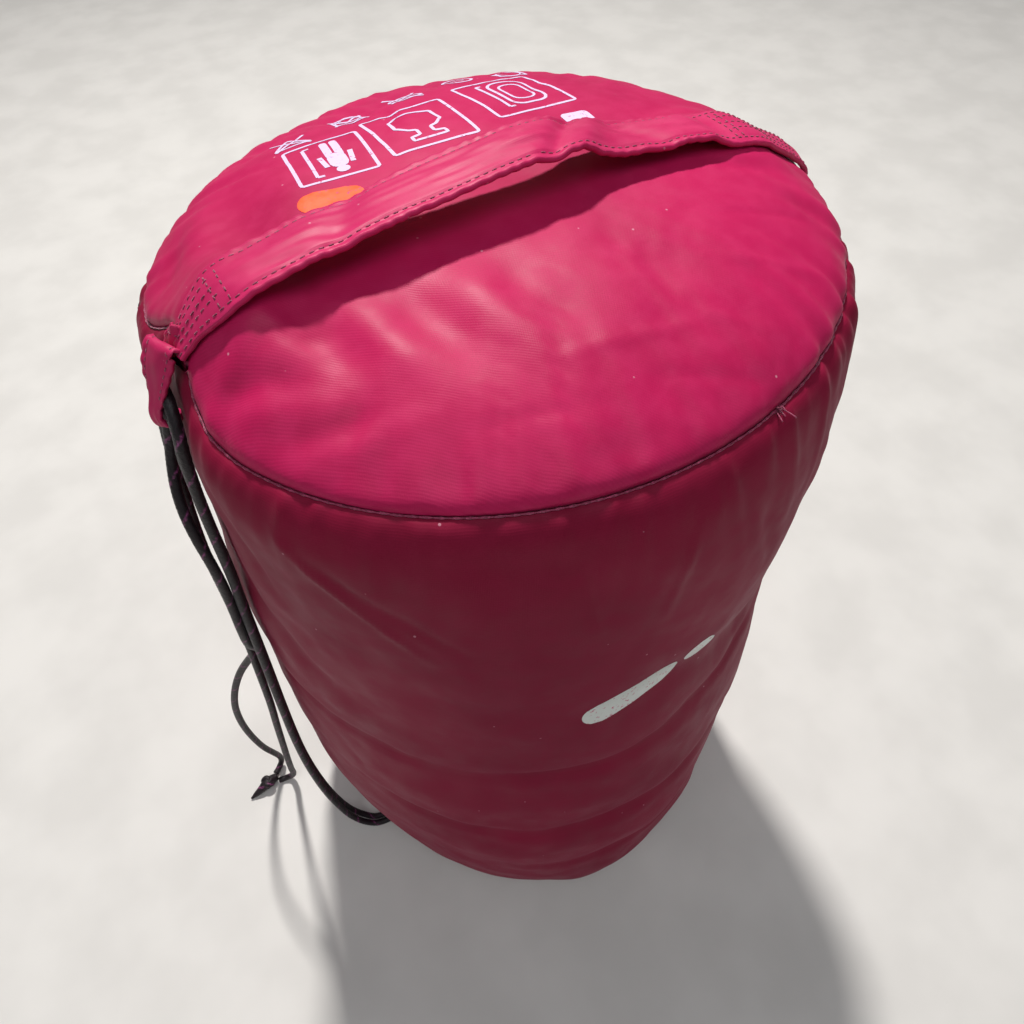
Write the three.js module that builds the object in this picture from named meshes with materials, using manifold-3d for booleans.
// Compression sack: a stuffed drawcord sack standing on its gathered mouth, with the sewn-in
// end panel and its carry strap on top. Units are millimetres, +Z is up, the floor is z = 0,
// and the carry strap runs along X with the cord tab at the -X end.
import * as THREE from 'three';
import * as BufferGeometryUtils from 'three/addons/utils/BufferGeometryUtils.js';
import Module from 'manifold-3d';

const wasm = await Module();
wasm.setup();

// ---------------------------------------------------------------- driving dimensions
const SEAM_HEIGHT = 315;        // floor to the seam between wall and end panel
const SEAM_RADIUS = 103;        // the seam pulls in to a little less than the wall's bulge
const DOME_HEIGHT = 24;         // how far the stuffing pushes the end panel up
const FABRIC = 1.0;             // taffeta with its puckers, as one plain skin
const PANEL_LIFT = 1.6;         // the panel starts this far above the seam's middle
const GAP = 0.4;                // clearance between pieces that touch
const AROUND = 72;              // segments around the sack

const WALL_BOTTOM = 8;          // where the wall turns into the gathered mouth
const FOOT_RADIUS = 87;         // outer edge of the patch that rests on the floor
const FOOT_THICKNESS = 6;       // bunched fabric under the contents
const MOUTH_RADIUS = 29;        // the gathered fabric ends here, at the hem

const STRAP_Y = -10;            // the strap is sewn a little off the panel's centre line
const STRAP_WIDTH = 20;
const STRAP_THICKNESS = 1.8;    // folded taffeta, four plies
const SPAN_HALF = 46;           // the free span that swings reaches this far each way
const TACK_OUT = 80;            // outer edge of each box stitch
const TACK_IN = 66;             // inner edge of each box stitch

const CORD = 3.2;               // braided mini-cord diameter
const CORD_SIDES = 8;

// The stuffed sack is not round: oval at the top, softly three-sided at the foot, leaning a little.
const TOP_OVAL = 0.040;
const TOP_OVAL_AT = THREE.MathUtils.degToRad(21);
const FOOT_OVAL = 0.032;
const FOOT_OVAL_AT = THREE.MathUtils.degToRad(-76);
const FOOT_LOBES = 0.030;
const LEAN_X = 4;
const LEAN_Y = 6.5;
const TAB_DENT = 7;             // the tab's pull flattens the wall under it
const TAB_DENT_HEIGHT = 268;
const TAB_PULL_IN = 9;          // the strap's end and the tab draw the seam in and up
const TAB_PULL_UP = 11;
const TAB_PULL_AT = THREE.MathUtils.degToRad(183);
const TAB_PULL_WIDTH = THREE.MathUtils.degToRad(10);
const TAB_PULL_FADE = 30;       // how far down the wall the pull reaches
const FOOTPRINT_MIDDLE_X = 4.98;
const FOOTPRINT_MIDDLE_Y = 1.33;

// ---------------------------------------------------------------- colours
const FABRIC_LIT = 0xc03a68;
const FABRIC_WALL = 0xa8325a;
const FABRIC_STRAP = 0xc43a68;
const THREAD = 0x6a1030;
const CORD_BLACK = 0x1a0f16;
const FILL_GREY = 0x8a8f96;

function material(color, roughness) {
  return new THREE.MeshStandardMaterial({ color, roughness, metalness: 0 });
}

const sack = new THREE.Group();

function addPart(name, geometry, color, roughness = 0.5) {
  const mesh = new THREE.Mesh(geometry, material(color, roughness));
  mesh.name = name;
  sack.add(mesh);
}

// ---------------------------------------------------------------- the soft outline
// Turns a round (radius, angle, height) into the sack's real, slightly uneven outline.
function outlineFactor(angle, z) {
  const up = THREE.MathUtils.clamp(z / SEAM_HEIGHT, 0, 1);
  const top = TOP_OVAL * Math.cos(2 * (angle - TOP_OVAL_AT));
  const foot = FOOT_OVAL * Math.cos(2 * (angle - FOOT_OVAL_AT));
  const lobes = FOOT_LOBES * Math.cos(3 * (angle - TOP_OVAL_AT));
  return 1 + up * top + (1 - up) * (foot + lobes);
}

function tabDent(angle, z) {
  const turn = Math.cos(angle / 2) / 0.24;
  const rise = (z - TAB_DENT_HEIGHT) / 42;
  return TAB_DENT * Math.exp(-turn * turn - rise * rise);
}

// Share of the tab's pull that acts at (radius, angle, height): all of it on the seam beside the tab.
function tabPull(radius, angle, z) {
  const turn = angle - TAB_PULL_AT + (angle < 0 ? 2 * Math.PI : 0);
  const around = Math.exp(-((turn / TAB_PULL_WIDTH) ** 2));
  const down = Math.exp(-((Math.max(SEAM_HEIGHT - z, 0) / TAB_PULL_FADE) ** 2));
  return around * down * Math.min(1, radius / SEAM_RADIUS) ** 6;
}

function outlinePoint(radius, angle, z) {
  const up = THREE.MathUtils.clamp(z / SEAM_HEIGHT, 0, 1);
  const dent = tabDent(angle, z) * Math.min(1, radius / 90) ** 8;
  const pull = tabPull(radius, angle, z);
  const r = radius * outlineFactor(angle, z) - dent - TAB_PULL_IN * pull;
  const x = r * Math.cos(angle) + LEAN_X * up;
  const y = r * Math.sin(angle) + LEAN_Y * up;
  return new THREE.Vector3(x, y, z + TAB_PULL_UP * pull);
}

// Soft rises of the panel where the two ends of the strap pull it up.
function strapPull(x, y, u) {
  const left = 13 * Math.exp(-(((x + 79) / 15) ** 2) - ((y - STRAP_Y) / 24) ** 2);
  const right = 4 * Math.exp(-(((x - 76) / 12) ** 2) - ((y - STRAP_Y) / 24) ** 2);
  return (left + right) * (1 - u ** 6);
}

function domeRise(u) {
  return DOME_HEIGHT * (1 - Math.min(u, 1) ** 3.2) ** 0.72;
}

// Height of the end panel's outer face above the point (x, y). The radius before the tab's pull is
// found by going round a few times.
function panelHeight(x, y) {
  const dx = x - LEAN_X;
  const dy = y - LEAN_Y;
  const angle = Math.atan2(dy, dx);
  const factor = outlineFactor(angle, SEAM_HEIGHT);
  const dent = tabDent(angle, SEAM_HEIGHT);
  let radius = Math.hypot(dx, dy) / factor;
  let pull = 0;
  for (let round = 0; round < 8; round += 1) {
    pull = tabPull(radius, angle, SEAM_HEIGHT);
    const inward = dent * Math.min(1, radius / 90) ** 8 + TAB_PULL_IN * pull;
    radius = (Math.hypot(dx, dy) + inward) / factor;
  }
  const u = radius / SEAM_RADIUS;
  return SEAM_HEIGHT + PANEL_LIFT + domeRise(u) + strapPull(x, y, u) + TAB_PULL_UP * pull;
}

// ---------------------------------------------------------------- solids from rings
// Joins rings of points into one closed body. Rings run around the axis; a ring of one point is a
// pole. A profile without poles closes on itself.
function ringBody(rings) {
  const positions = [];
  const starts = [];
  for (const ring of rings) {
    starts.push(positions.length / 3);
    for (const p of ring) positions.push(p.x, p.y, p.z);
  }
  const index = [];
  const closesOnItself = rings[0].length > 1;
  const strips = closesOnItself ? rings.length : rings.length - 1;
  for (let i = 0; i < strips; i += 1) {
    const a = i;
    const b = (i + 1) % rings.length;
    const around = Math.max(rings[a].length, rings[b].length);
    for (let k = 0; k < around; k += 1) {
      const next = (k + 1) % around;
      const a0 = starts[a] + (rings[a].length > 1 ? k : 0);
      const a1 = starts[a] + (rings[a].length > 1 ? next : 0);
      const b0 = starts[b] + (rings[b].length > 1 ? k : 0);
      const b1 = starts[b] + (rings[b].length > 1 ? next : 0);
      if (a0 !== a1) index.push(a0, a1, b0);
      if (b0 !== b1) index.push(a1, b1, b0);
    }
  }
  return facingOut(positions, index);
}

function facingOut(positions, index) {
  const geometry = new THREE.BufferGeometry();
  geometry.setAttribute('position', new THREE.Float32BufferAttribute(positions, 3));
  geometry.setIndex(index);
  if (signedVolume(geometry) < 0) {
    for (let i = 0; i < index.length; i += 3) {
      [index[i], index[i + 1]] = [index[i + 1], index[i]];
    }
    geometry.setIndex(index);
  }
  geometry.computeVertexNormals();
  return geometry;
}

function signedVolume(geometry) {
  const p = geometry.getAttribute('position');
  const a = new THREE.Vector3();
  const b = new THREE.Vector3();
  const c = new THREE.Vector3();
  let volume = 0;
  for (let i = 0; i < geometry.index.count; i += 3) {
    a.fromBufferAttribute(p, geometry.index.getX(i));
    b.fromBufferAttribute(p, geometry.index.getX(i + 1));
    c.fromBufferAttribute(p, geometry.index.getX(i + 2));
    volume += a.dot(b.cross(c)) / 6;
  }
  return volume;
}

// A ring of the outline at one radius and height; radius 0 gives a pole.
function outlineRing(radius, z, pull = false) {
  const count = radius < 0.01 ? 1 : AROUND;
  const ring = [];
  for (let k = 0; k < count; k += 1) {
    const p = outlinePoint(radius, (2 * Math.PI * k) / AROUND, z);
    if (pull) p.z += strapPull(p.x, p.y, Math.min(radius / SEAM_RADIUS, 1));
    ring.push(p);
  }
  return ring;
}

// Moves an open (radius, height) profile inwards along its normal.
function insetProfile(profile, distance) {
  return profile.map((p, i) => {
    const before = profile[Math.max(i - 1, 0)];
    const after = profile[Math.min(i + 1, profile.length - 1)];
    const along = after.clone().sub(before).normalize();
    const radius = p.x === 0 ? 0 : Math.max(0, p.x - along.y * distance);
    return new THREE.Vector2(radius, p.y + along.x * distance);
  });
}

// ---------------------------------------------------------------- wall, panel, contents
// The wall's outline from the foot up: a fat round foot, a full barrel, a soft waist two thirds of
// the way up, and the tuck into the seam.
const WALL_OUTLINE = new THREE.SplineCurve([
  new THREE.Vector2(91, WALL_BOTTOM),
  new THREE.Vector2(98, 19),
  new THREE.Vector2(105, 45),
  new THREE.Vector2(108.5, 85),
  new THREE.Vector2(109.5, 130),
  new THREE.Vector2(108, 180),
  new THREE.Vector2(108.5, 225),
  new THREE.Vector2(110, 265),
  new THREE.Vector2(109.5, 295),
  new THREE.Vector2(107, 308),
  new THREE.Vector2(103.5, 313.4),
]);
const WALL_PROFILE = WALL_OUTLINE.getPoints(14);

function panelProfile() {
  const points = [];
  const steps = 8;
  for (let i = 0; i <= steps; i += 1) {
    const u = Math.cos((i / steps) * (Math.PI / 2)) ** 0.7;
    const radius = i === steps ? 0 : SEAM_RADIUS * u;
    points.push(new THREE.Vector2(radius, SEAM_HEIGHT + PANEL_LIFT + domeRise(radius / SEAM_RADIUS)));
  }
  return points;
}
const PANEL_PROFILE = panelProfile();

function shellRings(profile, pull) {
  const inner = insetProfile(profile, FABRIC);
  const rings = profile.map((p) => outlineRing(p.x, p.y, pull));
  for (let i = inner.length - 1; i >= 0; i -= 1) rings.push(outlineRing(inner[i].x, inner[i].y, pull));
  return rings;
}

function contentsRings() {
  const inset = FABRIC + 2 * GAP;
  const wall = insetProfile(WALL_PROFILE, inset).filter((p) => p.y > FOOT_THICKNESS + 6 && p.y < 312.5);
  const panel = insetProfile(PANEL_PROFILE, FABRIC + GAP).filter((p) => p.y > SEAM_HEIGHT + 1.9);
  const slot = [new THREE.Vector2(91, 313.2), new THREE.Vector2(91, 316.8)];
  const rings = [outlineRing(0, FOOT_THICKNESS + GAP), outlineRing(86, FOOT_THICKNESS + GAP)];
  for (const p of [...wall, ...slot]) rings.push(outlineRing(p.x, p.y));
  for (const p of panel) rings.push(outlineRing(p.x, p.y, true));
  return rings;
}

addPart('packed_contents', ringBody(contentsRings()), FILL_GREY, 0.9);
addPart('side_wall', ringBody(shellRings(WALL_PROFILE, false)), FABRIC_WALL, 0.42);

// The panel's shell has a pole on its outer face and one on its inner face.
function panelRings() {
  const inner = insetProfile(PANEL_PROFILE, FABRIC);
  const rings = [];
  for (let i = PANEL_PROFILE.length - 1; i >= 0; i -= 1) {
    rings.push(outlineRing(PANEL_PROFILE[i].x, PANEL_PROFILE[i].y, true));
  }
  for (const p of inner) rings.push(outlineRing(p.x, p.y, true));
  return rings;
}
addPart('end_panel', ringBody(panelRings()), FABRIC_LIT, 0.4);

// The turned-in seam allowance: both raw edges, stitched together, standing into the contents.
function bandRings(corners) {
  return corners.map(([radius, z]) => outlineRing(radius, z));
}
const ALLOWANCE = [[103.2, 314.1], [103.2, 315.9], [92, 315.9], [92, 314.1]];
addPart('end_seam_allowance', ringBody(bandRings(ALLOWANCE)), THREAD, 0.8);

// ---------------------------------------------------------------- wall seam
// The wall's one vertical seam: a narrow felled strip on the outside.
const WALL_SEAM_AT = THREE.MathUtils.degToRad(152);
function wallSeamStrip() {
  const rings = [];
  const half = 0.032;
  for (const p of WALL_PROFILE.slice(1, -2)) {
    const ring = [];
    for (const [turn, lift] of [[-half, GAP], [half, GAP], [half, GAP + 0.9], [-half, GAP + 0.9]]) {
      ring.push(outlinePoint(p.x + lift, WALL_SEAM_AT + turn, p.y));
    }
    rings.push(ring);
  }
  return capped(rings);
}

// Joins open strips of equal rings, with a flat cap at each end.
function capped(rings) {
  const positions = [];
  const index = [];
  const sides = rings[0].length;
  for (const ring of rings) {
    for (const p of ring) positions.push(p.x, p.y, p.z);
  }
  for (let i = 0; i < rings.length - 1; i += 1) {
    for (let k = 0; k < sides; k += 1) {
      const next = (k + 1) % sides;
      const a = i * sides;
      const b = (i + 1) * sides;
      index.push(a + k, a + next, b + k, a + next, b + next, b + k);
    }
  }
  const last = (rings.length - 1) * sides;
  for (let k = 1; k < sides - 1; k += 1) {
    index.push(0, k + 1, k, last, last + k, last + k + 1);
  }
  return facingOut(positions, index);
}
addPart('wall_seam_strip', wallSeamStrip(), FABRIC_WALL, 0.5);

// ---------------------------------------------------------------- gathered mouth
function weld(geometry) {
  const bare = geometry.clone();
  bare.deleteAttribute('normal');
  bare.deleteAttribute('uv');
  return BufferGeometryUtils.mergeVertices(bare, 1e-4);
}

function toManifold(geometry) {
  const merged = weld(geometry);
  const vertProperties = new Float32Array(merged.getAttribute('position').array);
  const triVerts = new Uint32Array(merged.index.array);
  return new wasm.Manifold(new wasm.Mesh({ numProp: 3, vertProperties, triVerts }));
}

function fromManifold(solid) {
  const mesh = solid.getMesh();
  const geometry = new THREE.BufferGeometry();
  geometry.setAttribute('position', new THREE.Float32BufferAttribute(mesh.vertProperties, 3));
  geometry.setIndex(Array.from(mesh.triVerts));
  geometry.computeVertexNormals();
  return geometry;
}

// The cords leave the mouth under the sack, along this line on the floor.
const EXIT_ANGLE = THREE.MathUtils.degToRad(-171);
const EXIT_WIDTH = 9;
const EXIT_HEIGHT = CORD + 1;

function gatheredMouth() {
  const corners = [
    [MOUTH_RADIUS, 0.5], [MOUTH_RADIUS + 4, 0], [FOOT_RADIUS, 0], [89.5, 2], [91, WALL_BOTTOM - GAP],
    [87.5, WALL_BOTTOM - GAP], [86, FOOT_THICKNESS], [MOUTH_RADIUS, FOOT_THICKNESS],
  ];
  const body = toManifold(ringBody(bandRings(corners)));
  const groove = new THREE.BoxGeometry(90, EXIT_WIDTH, EXIT_HEIGHT * 2);
  groove.translate(70, 0, 0);
  groove.rotateZ(EXIT_ANGLE);
  return fromManifold(body.subtract(toManifold(groove)));
}
addPart('mouth_gather', gatheredMouth(), FABRIC_WALL, 0.5);

// The hem is a folded channel around the mouth, open on top where its two edges meet.
const HEM_OUTER = 26.4;
const HEM_INNER = 12;
const BUTTONHOLE_TOP = 5.3;
const HEM_PROFILE = [
  [HEM_INNER, 0.8], [HEM_OUTER, 0.8], [HEM_OUTER, 5.8], [HEM_OUTER - 4, 5.8], [HEM_OUTER - 4, 5.0],
  [HEM_OUTER - 1.2, 5.0], [HEM_OUTER - 1.2, 1.6], [HEM_INNER + 1.2, 1.6], [HEM_INNER + 1.2, 5.0],
  [HEM_INNER + 4, 5.0], [HEM_INNER + 4, 5.8], [HEM_INNER, 5.8],
];
function roundRing(corners, segments) {
  const closed = [...corners, corners[0]].map(([r, z]) => new THREE.Vector2(r, z));
  return new THREE.LatheGeometry(closed, segments).rotateX(Math.PI / 2);
}
function hemChannel() {
  const channel = toManifold(roundRing(HEM_PROFILE, 40));
  const buttonhole = new THREE.BoxGeometry(12, EXIT_WIDTH, 2 * BUTTONHOLE_TOP);
  buttonhole.translate(HEM_OUTER, 0, 0);
  buttonhole.rotateZ(EXIT_ANGLE);
  return fromManifold(channel.subtract(toManifold(buttonhole)));
}
addPart('hem_channel', hemChannel(), FABRIC_WALL, 0.5);

// ---------------------------------------------------------------- carry strap
// The strap's centre line, from the left tack to the right one: a low arch with a soft kink.
const SPAN_LINE = new THREE.SplineCurve([
  new THREE.Vector2(-66, 346),
  new THREE.Vector2(-55, 350.5),
  new THREE.Vector2(-35, 354),
  new THREE.Vector2(-10, 355.5),
  new THREE.Vector2(8, 355),
  new THREE.Vector2(24, 352),
  new THREE.Vector2(40, 349),
  new THREE.Vector2(54, 346.5),
  new THREE.Vector2(66, 343.5),
]);

// A flat band along a line of points, as wide as widthAt(height) in the level direction across.
function band(points, across, widthAt, thickness) {
  const rings = points.map((p, i) => {
    const before = points[Math.max(i - 1, 0)];
    const after = points[Math.min(i + 1, points.length - 1)];
    const along = after.clone().sub(before);
    const up = along.cross(across).normalize().multiplyScalar(thickness / 2);
    return [[-1, -1], [1, -1], [1, 1], [-1, 1]].map(([side, lift]) => {
      const corner = p.clone().addScaledVector(across, (side * widthAt(p.z)) / 2);
      return corner.addScaledVector(up, lift);
    });
  });
  return capped(rings);
}

const SPAN_SAMPLES = SPAN_LINE.getPoints(96);
function spanHeight(x) {
  const i = Math.max(1, SPAN_SAMPLES.findIndex((p) => p.x >= x));
  const before = SPAN_SAMPLES[i - 1];
  const after = SPAN_SAMPLES[i];
  return THREE.MathUtils.mapLinear(x, before.x, after.x, before.y, after.y);
}

function spanBetween(fromX, toX) {
  const points = [];
  const steps = 6;
  for (let i = 0; i <= steps; i += 1) {
    const x = THREE.MathUtils.lerp(fromX, toX, i / steps);
    points.push(new THREE.Vector3(x, STRAP_Y, spanHeight(x)));
  }
  return band(points, new THREE.Vector3(0, 1, 0), () => STRAP_WIDTH, STRAP_THICKNESS);
}

const SPAN_CUTS = [-SPAN_HALF, -18, 16, SPAN_HALF];
['left', 'middle', 'right'].forEach((name, i) => {
  addPart(`strap_span_${name}`, spanBetween(SPAN_CUTS[i] + GAP, SPAN_CUTS[i + 1] - GAP), FABRIC_STRAP, 0.38);
});
addPart('strap_flex_left', spanBetween(-TACK_IN + GAP, -SPAN_HALF - GAP), FABRIC_STRAP, 0.38);
addPart('strap_flex_right', spanBetween(SPAN_HALF + GAP, TACK_IN - GAP), FABRIC_STRAP, 0.38);

// A patch that lies on the end panel: a grid of points lifted along the panel's own normal.
function panelNormal(x, y) {
  const step = 0.5;
  const slopeX = (panelHeight(x + step, y) - panelHeight(x - step, y)) / (2 * step);
  const slopeY = (panelHeight(x, y + step) - panelHeight(x, y - step)) / (2 * step);
  return new THREE.Vector3(-slopeX, -slopeY, 1).normalize();
}

function onPanel(x, y, lift) {
  return new THREE.Vector3(x, y, panelHeight(x, y)).addScaledVector(panelNormal(x, y), lift);
}

function panelPatch({ fromX, toX, y = STRAP_Y, width, lift, thickness, stepsX = 8 }) {
  const rings = [];
  const stepsY = 4;
  for (let i = 0; i <= stepsX; i += 1) {
    const x = THREE.MathUtils.lerp(fromX, toX, i / stepsX);
    const lower = [];
    const upper = [];
    for (let k = 0; k <= stepsY; k += 1) {
      const across = y + width * (k / stepsY - 0.5);
      lower.push(onPanel(x, across, lift));
      upper.unshift(onPanel(x, across, lift + thickness));
    }
    rings.push([...lower, ...upper]);
  }
  return cappedGrid(rings, stepsY + 1);
}

// Like capped(), for thin rings whose lower and upper rows face each other.
function cappedGrid(rings, columns) {
  const positions = [];
  const index = [];
  const sides = rings[0].length;
  for (const ring of rings) {
    for (const p of ring) positions.push(p.x, p.y, p.z);
  }
  for (let i = 0; i < rings.length - 1; i += 1) {
    for (let k = 0; k < sides; k += 1) {
      const next = (k + 1) % sides;
      const a = i * sides;
      const b = (i + 1) * sides;
      index.push(a + k, a + next, b + k, a + next, b + next, b + k);
    }
  }
  const last = (rings.length - 1) * sides;
  for (let k = 0; k < columns - 1; k += 1) {
    const low = k;
    const high = sides - 1 - k;
    index.push(low, high, low + 1, high, high - 1, low + 1);
    index.push(last + low, last + low + 1, last + high, last + high, last + low + 1, last + high - 1);
  }
  return facingOut(positions, index);
}

const ROOT_LIFT = 0.7;
const ROOT_THICKNESS = 1.6;
const ROOT_END_LEFT = -89.5;
const ROOT_END_RIGHT = 105;
const root = { width: STRAP_WIDTH, lift: ROOT_LIFT, thickness: ROOT_THICKNESS };
const rootLeft = panelPatch({ ...root, fromX: ROOT_END_LEFT, toX: -TACK_IN - GAP });
const rootRight = panelPatch({ ...root, fromX: TACK_IN + GAP, toX: ROOT_END_RIGHT });
addPart('strap_root_left', rootLeft, FABRIC_STRAP, 0.38);
addPart('strap_root_right', rootRight, FABRIC_STRAP, 0.38);

// Box stitches: raised thread pads over the two sewn ends.
const stitch = { width: 14, lift: ROOT_LIFT + ROOT_THICKNESS + GAP, thickness: 0.7, stepsX: 4 };
addPart('box_stitch_left', panelPatch({ ...stitch, fromX: -TACK_OUT, toX: -TACK_IN - 3 }), THREAD, 0.7);
addPart('box_stitch_right', panelPatch({ ...stitch, fromX: TACK_IN + 3, toX: TACK_OUT }), THREAD, 0.7);

// ---------------------------------------------------------------- cord tab
// A folded fabric loop sewn into the seam over the strap's end. Its free end hangs down over the
// wall, and the two cords pass through it.
const TAB_WIDTH = 11;
const TAB_TIP_WIDTH = 3;      // the cords pinch the loop's lower end
const TAB_TIP_HEIGHT = 309;
const TAB_TOP_HEIGHT = 327;
const TAB_THICKNESS = 0.9;
const TAB_ACROSS = new THREE.Vector3(0.35, -0.937, 0);
const tabAnchor = panelPatch({
  fromX: -88.5, toX: -83, y: -8, width: 13, lift: ROOT_LIFT + ROOT_THICKNESS + GAP + 0.3,
  thickness: TAB_THICKNESS, stepsX: 4,
});
addPart('cord_tab_anchor', tabAnchor, FABRIC_STRAP, 0.4);

const TAB_LINE = new THREE.CatmullRomCurve3([
  new THREE.Vector3(-95.6, -3, 330),
  new THREE.Vector3(-98.4, -4, 326.4),
  new THREE.Vector3(-100.6, -4.5, 321.6),
  new THREE.Vector3(-102.3, -4.7, 316.6),
  new THREE.Vector3(-103.6, -4.6, 312.2),
  new THREE.Vector3(-102.8, -4.5, 308.4),
  new THREE.Vector3(-100.6, -4.5, 307.2),
  new THREE.Vector3(-99.2, -4.4, 308.4),
  new THREE.Vector3(-98.9, -4.3, 310.2),
]);
function tabWidthAt(z) {
  const up = THREE.MathUtils.clamp((z - TAB_TIP_HEIGHT) / (TAB_TOP_HEIGHT - TAB_TIP_HEIGHT), 0, 1);
  return THREE.MathUtils.lerp(TAB_TIP_WIDTH, TAB_WIDTH, up);
}
const tabLoop = band(TAB_LINE.getPoints(20), TAB_ACROSS, tabWidthAt, TAB_THICKNESS);
addPart('cord_tab_loop', tabLoop, FABRIC_STRAP, 0.4);

// ---------------------------------------------------------------- cords
// One drawcord runs round the mouth inside the hem. Both halves come out under the sack, rise to
// the tab, turn over inside it and drop to one shared knot on the floor.
const CORD_STEP = 2.6 * CORD;

function cordTube(points) {
  const path = new THREE.CatmullRomCurve3(points.map(([x, y, z]) => new THREE.Vector3(x, y, z)));
  const section = new THREE.Shape();
  for (let k = 0; k < CORD_SIDES; k += 1) {
    const turn = (2 * Math.PI * (k + 0.5)) / CORD_SIDES;
    const move = k === 0 ? 'moveTo' : 'lineTo';
    section[move]((CORD / 2) * Math.cos(turn), (CORD / 2) * Math.sin(turn));
  }
  section.closePath();
  const steps = Math.ceil(path.getLength() / CORD_STEP);
  return new THREE.ExtrudeGeometry(section, { steps, bevelEnabled: false, extrudePath: path });
}

const CORD_A_RISE = [
  [-16.6, -9.8, 3.3], [-19.8, -7.7, 3.3], [-24.4, -5.9, 3], [-31, -6.6, 1.8], [-49.1, -9.6, 1.8],
  [-68.9, -12.7, 1.8], [-84.7, -15.2, 1.8], [-93, -16, 2], [-99.5, -14.8, 3], [-105, -12, 7],
  [-109.5, -9, 16], [-112.5, -7.2, 32], [-114.5, -6.6, 55], [-115.3, -7, 80], [-115.2, -7.6, 105],
  [-114.2, -8.2, 130], [-112.6, -8.6, 155], [-110.8, -9, 180], [-109, -9.5, 205],
  [-107.2, -10.1, 230], [-105.6, -10.8, 250], [-104.7, -11.6, 268], [-103.9, -12.4, 283],
  [-103, -12.9, 294], [-102, -12.9, 303], [-100.8, -11.9, 309.6], [-99.8, -9, 314.6],
  [-99.3, -5.8, 316.5], [-99.3, -3.9, 316.6],
];
const CORD_A_DROP = [
  [-99.3, -3.3, 316.6], [-99.4, -0.8, 316], [-100, 3, 312.6], [-101.2, 5.2, 306.5],
  [-103, 6.3, 298], [-104.9, 7.2, 286], [-107.2, 7.9, 268], [-109.6, 8.3, 245], [-110.9, 8.7, 215],
  [-112.2, 8.9, 187], [-114.4, 9.6, 160], [-117, 12, 130], [-119.8, 16, 103], [-122.5, 20.5, 75],
  [-125, 25, 48], [-126.8, 29.2, 26], [-127.8, 32.6, 11], [-129.8, 35.4, 4], [-133.5, 36.9, 2],
  [-137, 37.4, 2.2],
];
const CORD_B_RISE = [
  [-19, 4, 3.3], [-20.5, 0.6, 3.3], [-24.4, -1.9, 3], [-31, -3, 1.8], [-49.7, -6, 1.8],
  [-69.4, -9.2, 1.8], [-85.2, -11.6, 1.8], [-93, -12.3, 2], [-99, -11, 3.2], [-104, -8, 7.6],
  [-108.4, -5.2, 16.6], [-111.6, -3.5, 32.5], [-113.7, -2.9, 55], [-114.6, -3.2, 80],
  [-114.5, -3.8, 105], [-113.4, -4.4, 130], [-111.8, -4.8, 155], [-110, -5.2, 180],
  [-108.3, -5.7, 205], [-106.6, -6.3, 230], [-105.2, -7, 250], [-104.5, -7.9, 268],
  [-103.8, -8.8, 281], [-103.1, -9.3, 291], [-102.3, -9.3, 300], [-101.1, -8.9, 306.2],
  [-100.4, -7.3, 310.8], [-100.4, -5.4, 312.7], [-100.4, -3.9, 312.9],
];
const CORD_B_DROP = [
  [-100.4, -3.3, 312.9], [-100.4, -2, 312.6], [-100.9, 0.6, 309.8], [-101.8, 2, 304],
  [-103.2, 2.2, 297.5], [-105.4, 1.4, 290.5], [-107.6, -0.9, 283.5], [-109, -4, 276],
  [-109.4, -7, 267], [-109.2, -8.8, 256], [-109.3, -9.2, 245], [-110.2, -8.4, 230],
  [-111.2, -7.6, 216], [-111.6, -4.4, 203], [-110.2, 0.8, 191], [-109.2, 7, 180],
  [-111, 13.5, 169.5], [-115.9, 19.6, 157], [-122.2, 24.7, 143], [-128, 28.6, 127],
  [-132.2, 32, 110], [-134.6, 35.4, 92], [-135.7, 38.6, 72], [-135.4, 41.2, 52],
  [-134.2, 43.4, 35], [-132.2, 45, 22], [-130.9, 46.3, 13], [-130.6, 46.6, 8.3],
  [-131.3, 46.1, 5.05], [-133.4, 44.9, 2.7], [-136.1, 43.2, 1.8], [-137, 42.6, 1.9],
];
addPart('cord_a_rise', cordTube(CORD_A_RISE), CORD_BLACK, 0.6);
addPart('cord_a_drop', cordTube(CORD_A_DROP), CORD_BLACK, 0.6);
addPart('cord_b_rise', cordTube(CORD_B_RISE), CORD_BLACK, 0.6);
addPart('cord_b_drop', cordTube(CORD_B_DROP), CORD_BLACK, 0.6);

// The part of the drawcord inside the hem: a circle, open where its ends turn out.
const HEM_CORD_RADIUS = 19.3;
const HEM_CORD_FROM = THREE.MathUtils.degToRad(-145);
const HEM_CORD_TO = THREE.MathUtils.degToRad(163);
function hemCordPoints() {
  const points = [];
  const steps = 16;
  for (let i = 0; i <= steps; i += 1) {
    const turn = THREE.MathUtils.lerp(HEM_CORD_FROM, HEM_CORD_TO, i / steps);
    points.push([HEM_CORD_RADIUS * Math.cos(turn), HEM_CORD_RADIUS * Math.sin(turn), 3.3]);
  }
  return points;
}
addPart('drawcord_in_hem', cordTube(hemCordPoints()), CORD_BLACK, 0.6);

// Both cord ends in one overhand knot with a short tapered tail, lying on the floor.
function knot() {
  const outline = [[0, 0], [2.6, 0.4], [4, 3], [4.1, 6.5], [3, 9.5], [1.9, 12], [1.2, 16], [0, 17]];
  const lathe = new THREE.LatheGeometry(outline.map(([r, z]) => new THREE.Vector2(r, z)), 12);
  lathe.rotateZ(THREE.MathUtils.degToRad(104));
  return weld(lathe).translate(-137.6, 39.8, 4.2);
}
addPart('cord_knot', knot(), CORD_BLACK, 0.6);

// The row's origin is the middle of the sack's footprint box, on the floor.
sack.position.set(-FOOTPRINT_MIDDLE_X, -FOOTPRINT_MIDDLE_Y, 0);

export default sack;
